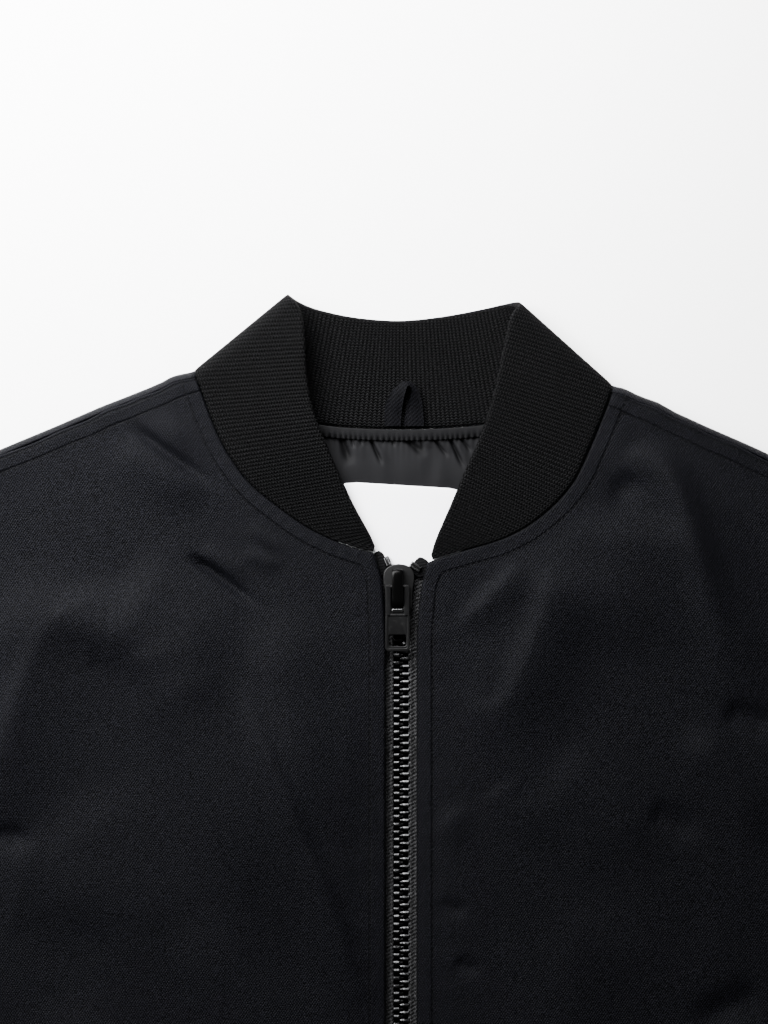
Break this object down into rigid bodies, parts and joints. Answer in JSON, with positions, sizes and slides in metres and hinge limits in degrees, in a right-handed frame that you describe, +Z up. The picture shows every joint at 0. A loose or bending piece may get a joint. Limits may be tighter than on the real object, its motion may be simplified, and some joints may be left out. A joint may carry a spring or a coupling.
{
  "type": "padded vest laid flat",
  "caption": "Zipped padded vest with a rib-knit stand collar, laid flat on its back, with a hinged zip pull tab.",
  "frame": {"origin": "middle of the outline, on the surface that the vest lies on", "axes": "+X to the right seen from above, +Y from the hem to the collar, +Z up out of the surface"},
  "size_m": [0.58, 0.7139, 0.0171],
  "materials": {
    "shell": "black nylon twill, low sheen",
    "rib_knit": "black rib knit, matt",
    "lining": "charcoal lining cloth, smooth",
    "binding": "black tape, gathered",
    "label": "white woven satin, bare",
    "tape": "black twill tape",
    "zip_teeth": "dark plated metal",
    "zip_metal": "black painted metal, worn edges"
  },
  "bodies": {
    "vest": {"front_left": "shell", "front_right": "shell", "back": "shell", "collar": "rib_knit", "neck_binding": "binding", "back_lining": "lining", "label": "label", "hanger_loop": "tape", "zip_tape_left": "tape", "zip_tape_right": "tape", "zip_chain": "zip_teeth", "zip_box": "zip_metal", "zip_slider": "zip_metal", "zip_stop_left": "zip_metal", "zip_stop_right": "zip_metal"},
    "pull_tab": {"pull_tab": "zip_metal"}
  },
  "joints": [
    {"name": "pull_tab_hinge", "type": "hinge", "parent": "vest", "child": "pull_tab", "pos_m": [-0.0014, 0.2165, 0.013], "axis": [-1, 0, 0], "range_deg": [0, 170]}
  ]
}
